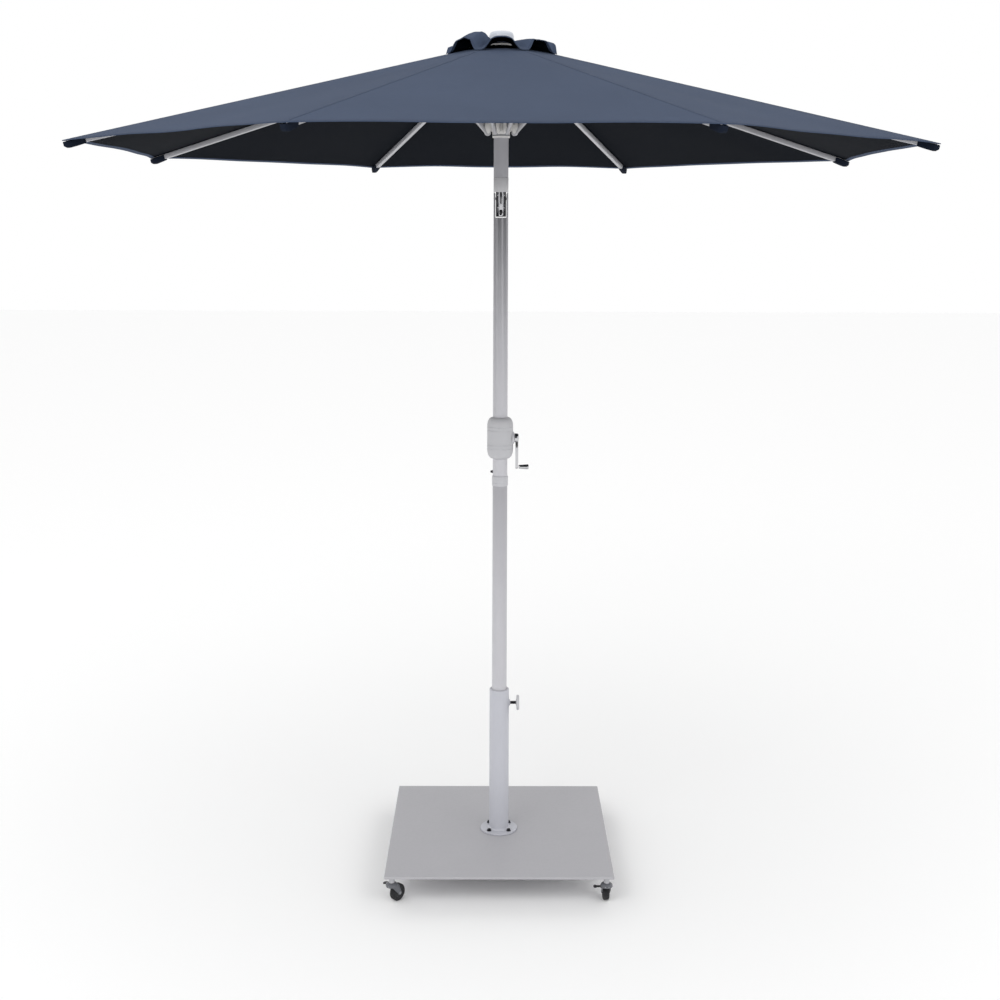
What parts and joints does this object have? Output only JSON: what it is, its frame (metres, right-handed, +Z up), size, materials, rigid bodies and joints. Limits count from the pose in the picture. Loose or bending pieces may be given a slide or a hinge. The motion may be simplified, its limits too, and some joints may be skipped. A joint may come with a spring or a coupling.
{
  "type": "patio umbrella with base",
  "caption": "Crank-operated octagonal patio umbrella with a vented fabric canopy, a tilting pole and a square steel base on braked casters.",
  "frame": {"origin": "on the floor, on the pole's axis", "axes": "+Z up the pole, +X towards the crank, and -Y is the front, where a straight side of the canopy faces"},
  "size_m": [2.5406, 2.5406, 2.7],
  "materials": {
    "base_plate": "satin",
    "stem_tube": "satin",
    "flange_bolt": "satin",
    "clamp_screw": "satin",
    "clamp_knob": "satin",
    "caster_fork": "satin",
    "caster_wheel": "matte",
    "caster_brake": "satin",
    "pole": "satin",
    "pole_upper": "satin",
    "pole_collar": "satin",
    "snap_button": "gloss",
    "crank_housing": "satin",
    "crank_spool": "satin",
    "crank_arm": "polished",
    "crank_grip": "polished",
    "tilt_knuckle": "polished",
    "tilt_button": "satin",
    "runner": "satin",
    "top_hub": "satin",
    "finial": "gloss",
    "canopy": "matte",
    "rib": "satin",
    "stretcher": "satin"
  },
  "bodies": {
    "base": {"base_plate": "base_plate", "stem_tube": "stem_tube", "flange_bolt_1": "flange_bolt", "flange_bolt_2": "flange_bolt", "flange_bolt_3": "flange_bolt", "flange_bolt_4": "flange_bolt"},
    "clamp_screw": {"clamp_screw": "clamp_screw"},
    "clamp_knob": {"clamp_knob": "clamp_knob"},
    "pole": {"lower_pole": "pole", "pole_collar": "pole_collar", "main_pole": "pole", "crank_housing_front": "crank_housing", "crank_housing_rear": "crank_housing"},
    "snap_button": {"snap_button": "snap_button"},
    "crank": {"crank_spool": "crank_spool", "crank_arm": "crank_arm"},
    "crank_grip": {"crank_grip": "crank_grip"},
    "upper": {"tilt_knuckle": "tilt_knuckle", "upper_pole": "pole_upper", "top_hub": "top_hub", "finial": "finial", "vent_cap": "canopy"},
    "tilt_button": {"tilt_button": "tilt_button"},
    "runner": {"runner": "runner"},
    "caster_1": {"caster_fork_1": "caster_fork"},
    "wheel_1": {"caster_wheel_1": "caster_wheel"},
    "brake_1": {"caster_brake_1": "caster_brake"},
    "caster_2": {"caster_fork_2": "caster_fork"},
    "wheel_2": {"caster_wheel_2": "caster_wheel"},
    "brake_2": {"caster_brake_2": "caster_brake"},
    "caster_3": {"caster_fork_3": "caster_fork"},
    "wheel_3": {"caster_wheel_3": "caster_wheel"},
    "brake_3": {"caster_brake_3": "caster_brake"},
    "caster_4": {"caster_fork_4": "caster_fork"},
    "wheel_4": {"caster_wheel_4": "caster_wheel"},
    "brake_4": {"caster_brake_4": "caster_brake"},
    "rib_1": {"rib_1": "rib", "canopy_section_1": "canopy"},
    "stretcher_1": {"stretcher_1": "stretcher"},
    "rib_2": {"rib_2": "rib", "canopy_section_2": "canopy"},
    "stretcher_2": {"stretcher_2": "stretcher"},
    "rib_3": {"rib_3": "rib", "canopy_section_3": "canopy"},
    "stretcher_3": {"stretcher_3": "stretcher"},
    "rib_4": {"rib_4": "rib", "canopy_section_4": "canopy"},
    "stretcher_4": {"stretcher_4": "stretcher"},
    "rib_5": {"rib_5": "rib", "canopy_section_5": "canopy"},
    "stretcher_5": {"stretcher_5": "stretcher"},
    "rib_6": {"rib_6": "rib", "canopy_section_6": "canopy"},
    "stretcher_6": {"stretcher_6": "stretcher"},
    "rib_7": {"rib_7": "rib", "canopy_section_7": "canopy"},
    "stretcher_7": {"stretcher_7": "stretcher"},
    "rib_8": {"rib_8": "rib", "canopy_section_8": "canopy"},
    "stretcher_8": {"stretcher_8": "stretcher"}
  },
  "joints": [
    {"name": "caster_swivel_1", "type": "hinge", "parent": "base", "child": "caster_1", "pos_m": [-0.328, -0.328, 0.07], "axis": [0, 0, 1], "continuous": true},
    {"name": "wheel_spin_1", "type": "hinge", "parent": "caster_1", "child": "wheel_1", "pos_m": [-0.31194, -0.31016, 0.025], "axis": [-0.7431, 0.6691, 0], "continuous": true},
    {"name": "brake_press_1", "type": "hinge", "parent": "caster_1", "child": "brake_1", "pos_m": [-0.33617, -0.31257, 0.048], "axis": [-0.6691, -0.7431, 0], "range_deg": [0, 18]},
    {"name": "caster_swivel_2", "type": "hinge", "parent": "base", "child": "caster_2", "pos_m": [0.328, -0.328, 0.07], "axis": [0, 0, 1], "continuous": true},
    {"name": "wheel_spin_2", "type": "hinge", "parent": "caster_2", "child": "wheel_2", "pos_m": [0.32716, -0.30401, 0.025], "axis": [-0.9994, -0.0349, 0], "continuous": true},
    {"name": "brake_press_2", "type": "hinge", "parent": "caster_2", "child": "brake_2", "pos_m": [0.3114, -0.32258, 0.048], "axis": [0.0349, -0.9994, 0], "range_deg": [0, 18]},
    {"name": "caster_swivel_3", "type": "hinge", "parent": "base", "child": "caster_3", "pos_m": [0.328, 0.328, 0.07], "axis": [0, 0, 1], "continuous": true},
    {"name": "wheel_spin_3", "type": "hinge", "parent": "caster_3", "child": "wheel_3", "pos_m": [0.30545, 0.31979, 0.025], "axis": [0.342, -0.9397, 0], "continuous": true},
    {"name": "brake_press_3", "type": "hinge", "parent": "caster_3", "child": "brake_3", "pos_m": [0.32797, 0.31054, 0.048], "axis": [0.9397, 0.342, 0], "range_deg": [0, 18]},
    {"name": "caster_swivel_4", "type": "hinge", "parent": "base", "child": "caster_4", "pos_m": [-0.328, 0.328, 0.07], "axis": [0, 0, 1], "continuous": true},
    {"name": "wheel_spin_4", "type": "hinge", "parent": "caster_4", "child": "wheel_4", "pos_m": [-0.30625, 0.31786, 0.025], "axis": [0.4226, 0.9063, 0], "continuous": true},
    {"name": "brake_press_4", "type": "hinge", "parent": "caster_4", "child": "brake_4", "pos_m": [-0.31563, 0.34033, 0.048], "axis": [-0.9063, 0.4226, 0], "range_deg": [0, 18]},
    {"name": "clamp_turn", "type": "hinge", "parent": "clamp_screw", "child": "clamp_knob", "pos_m": [0.055, 0, 0.503], "axis": [1, 0, 0], "range_deg": [0, 1440]},
    {"name": "clamp_screw_travel", "type": "slide", "parent": "base", "child": "clamp_screw", "axis": [1, 0, 0], "range_m": [0, 0.0061]},
    {"name": "pole_turn", "type": "hinge", "parent": "base", "child": "pole", "pos_m": [0, 0, 0.1], "axis": [0, 0, 1], "continuous": true},
    {"name": "snap_button_press", "type": "slide", "parent": "pole", "child": "snap_button", "axis": [1, 0, 0], "range_m": [0, 0.0065], "stiffness_N_per_m": 400},
    {"name": "tilt", "type": "hinge", "parent": "pole", "child": "upper", "pos_m": [0, 0, 2.155], "axis": [-1, 0, 0], "range_deg": [0, 33]},
    {"name": "tilt_button_press", "type": "slide", "parent": "upper", "child": "tilt_button", "axis": [0, 1, 0], "range_m": [0, 0.0028], "stiffness_N_per_m": 400},
    {"name": "runner_slide", "type": "slide", "parent": "upper", "child": "runner", "axis": [0, 0, 1], "range_m": [-0.36007, 0], "deforming": ["canopy_section_1", "canopy_section_2", "canopy_section_3", "canopy_section_4", "canopy_section_5", "canopy_section_6", "canopy_section_7", "canopy_section_8", "vent_cap"]},
    {"name": "crank_turn", "type": "hinge", "parent": "pole", "child": "crank", "pos_m": [0, 0, 1.373], "axis": [1, 0, 0], "range_deg": [-2160.5, 0]},
    {"name": "crank_grip_spin", "type": "hinge", "parent": "crank", "child": "crank_grip", "pos_m": [0.0605, 0, 1.278], "axis": [1, 0, 0], "continuous": true},
    {"name": "rib_fold_1", "type": "hinge", "parent": "upper", "child": "rib_1", "pos_m": [0.0388, 0.01607, 2.64176], "axis": [-0.3827, 0.9239, 0], "range_deg": [0, 70]},
    {"name": "stretcher_fold_1", "type": "hinge", "parent": "rib_1", "child": "stretcher_1", "pos_m": [0.30248, 0.12529, 2.54718], "axis": [-0.3827, 0.9239, 0], "range_deg": [-127.3, 0]},
    {"name": "rib_fold_2", "type": "hinge", "parent": "upper", "child": "rib_2", "pos_m": [0.01607, 0.0388, 2.64176], "axis": [-0.9239, 0.3827, 0], "range_deg": [0, 70]},
    {"name": "stretcher_fold_2", "type": "hinge", "parent": "rib_2", "child": "stretcher_2", "pos_m": [0.12529, 0.30248, 2.54718], "axis": [-0.9239, 0.3827, 0], "range_deg": [-127.3, 0]},
    {"name": "rib_fold_3", "type": "hinge", "parent": "upper", "child": "rib_3", "pos_m": [-0.01607, 0.0388, 2.64176], "axis": [-0.9239, -0.3827, 0], "range_deg": [0, 70]},
    {"name": "stretcher_fold_3", "type": "hinge", "parent": "rib_3", "child": "stretcher_3", "pos_m": [-0.12529, 0.30248, 2.54718], "axis": [-0.9239, -0.3827, 0], "range_deg": [-127.3, 0]},
    {"name": "rib_fold_4", "type": "hinge", "parent": "upper", "child": "rib_4", "pos_m": [-0.0388, 0.01607, 2.64176], "axis": [-0.3827, -0.9239, 0], "range_deg": [0, 70]},
    {"name": "stretcher_fold_4", "type": "hinge", "parent": "rib_4", "child": "stretcher_4", "pos_m": [-0.30248, 0.12529, 2.54718], "axis": [-0.3827, -0.9239, 0], "range_deg": [-127.3, 0]},
    {"name": "rib_fold_5", "type": "hinge", "parent": "upper", "child": "rib_5", "pos_m": [-0.0388, -0.01607, 2.64176], "axis": [0.3827, -0.9239, 0], "range_deg": [0, 70]},
    {"name": "stretcher_fold_5", "type": "hinge", "parent": "rib_5", "child": "stretcher_5", "pos_m": [-0.30248, -0.12529, 2.54718], "axis": [0.3827, -0.9239, 0], "range_deg": [-127.3, 0]},
    {"name": "rib_fold_6", "type": "hinge", "parent": "upper", "child": "rib_6", "pos_m": [-0.01607, -0.0388, 2.64176], "axis": [0.9239, -0.3827, 0], "range_deg": [0, 70]},
    {"name": "stretcher_fold_6", "type": "hinge", "parent": "rib_6", "child": "stretcher_6", "pos_m": [-0.12529, -0.30248, 2.54718], "axis": [0.9239, -0.3827, 0], "range_deg": [-127.3, 0]},
    {"name": "rib_fold_7", "type": "hinge", "parent": "upper", "child": "rib_7", "pos_m": [0.01607, -0.0388, 2.64176], "axis": [0.9239, 0.3827, 0], "range_deg": [0, 70]},
    {"name": "stretcher_fold_7", "type": "hinge", "parent": "rib_7", "child": "stretcher_7", "pos_m": [0.12529, -0.30248, 2.54718], "axis": [0.9239, 0.3827, 0], "range_deg": [-127.3, 0]},
    {"name": "rib_fold_8", "type": "hinge", "parent": "upper", "child": "rib_8", "pos_m": [0.0388, -0.01607, 2.64176], "axis": [0.3827, 0.9239, 0], "range_deg": [0, 70]},
    {"name": "stretcher_fold_8", "type": "hinge", "parent": "rib_8", "child": "stretcher_8", "pos_m": [0.30248, -0.12529, 2.54718], "axis": [0.3827, 0.9239, 0], "range_deg": [-127.3, 0]}
  ],
  "couplings": [
    {"joint": "clamp_screw_travel", "follows": "clamp_turn", "m_per_rad": 0.00023873},
    {"joint": "crank_turn", "follows": "runner_slide", "rad_per_m": 104.7},
    {"joint": "rib_fold_1", "follows": "runner_slide", "rad_per_m": -3.392},
    {"joint": "stretcher_fold_1", "follows": "runner_slide", "rad_per_m": 6.1681},
    {"joint": "rib_fold_2", "follows": "runner_slide", "rad_per_m": -3.392},
    {"joint": "stretcher_fold_2", "follows": "runner_slide", "rad_per_m": 6.1681},
    {"joint": "rib_fold_3", "follows": "runner_slide", "rad_per_m": -3.392},
    {"joint": "stretcher_fold_3", "follows": "runner_slide", "rad_per_m": 6.1681},
    {"joint": "rib_fold_4", "follows": "runner_slide", "rad_per_m": -3.392},
    {"joint": "stretcher_fold_4", "follows": "runner_slide", "rad_per_m": 6.1681},
    {"joint": "rib_fold_5", "follows": "runner_slide", "rad_per_m": -3.392},
    {"joint": "stretcher_fold_5", "follows": "runner_slide", "rad_per_m": 6.1681},
    {"joint": "rib_fold_6", "follows": "runner_slide", "rad_per_m": -3.392},
    {"joint": "stretcher_fold_6", "follows": "runner_slide", "rad_per_m": 6.1681},
    {"joint": "rib_fold_7", "follows": "runner_slide", "rad_per_m": -3.392},
    {"joint": "stretcher_fold_7", "follows": "runner_slide", "rad_per_m": 6.1681},
    {"joint": "rib_fold_8", "follows": "runner_slide", "rad_per_m": -3.392},
    {"joint": "stretcher_fold_8", "follows": "runner_slide", "rad_per_m": 6.1681}
  ]
}
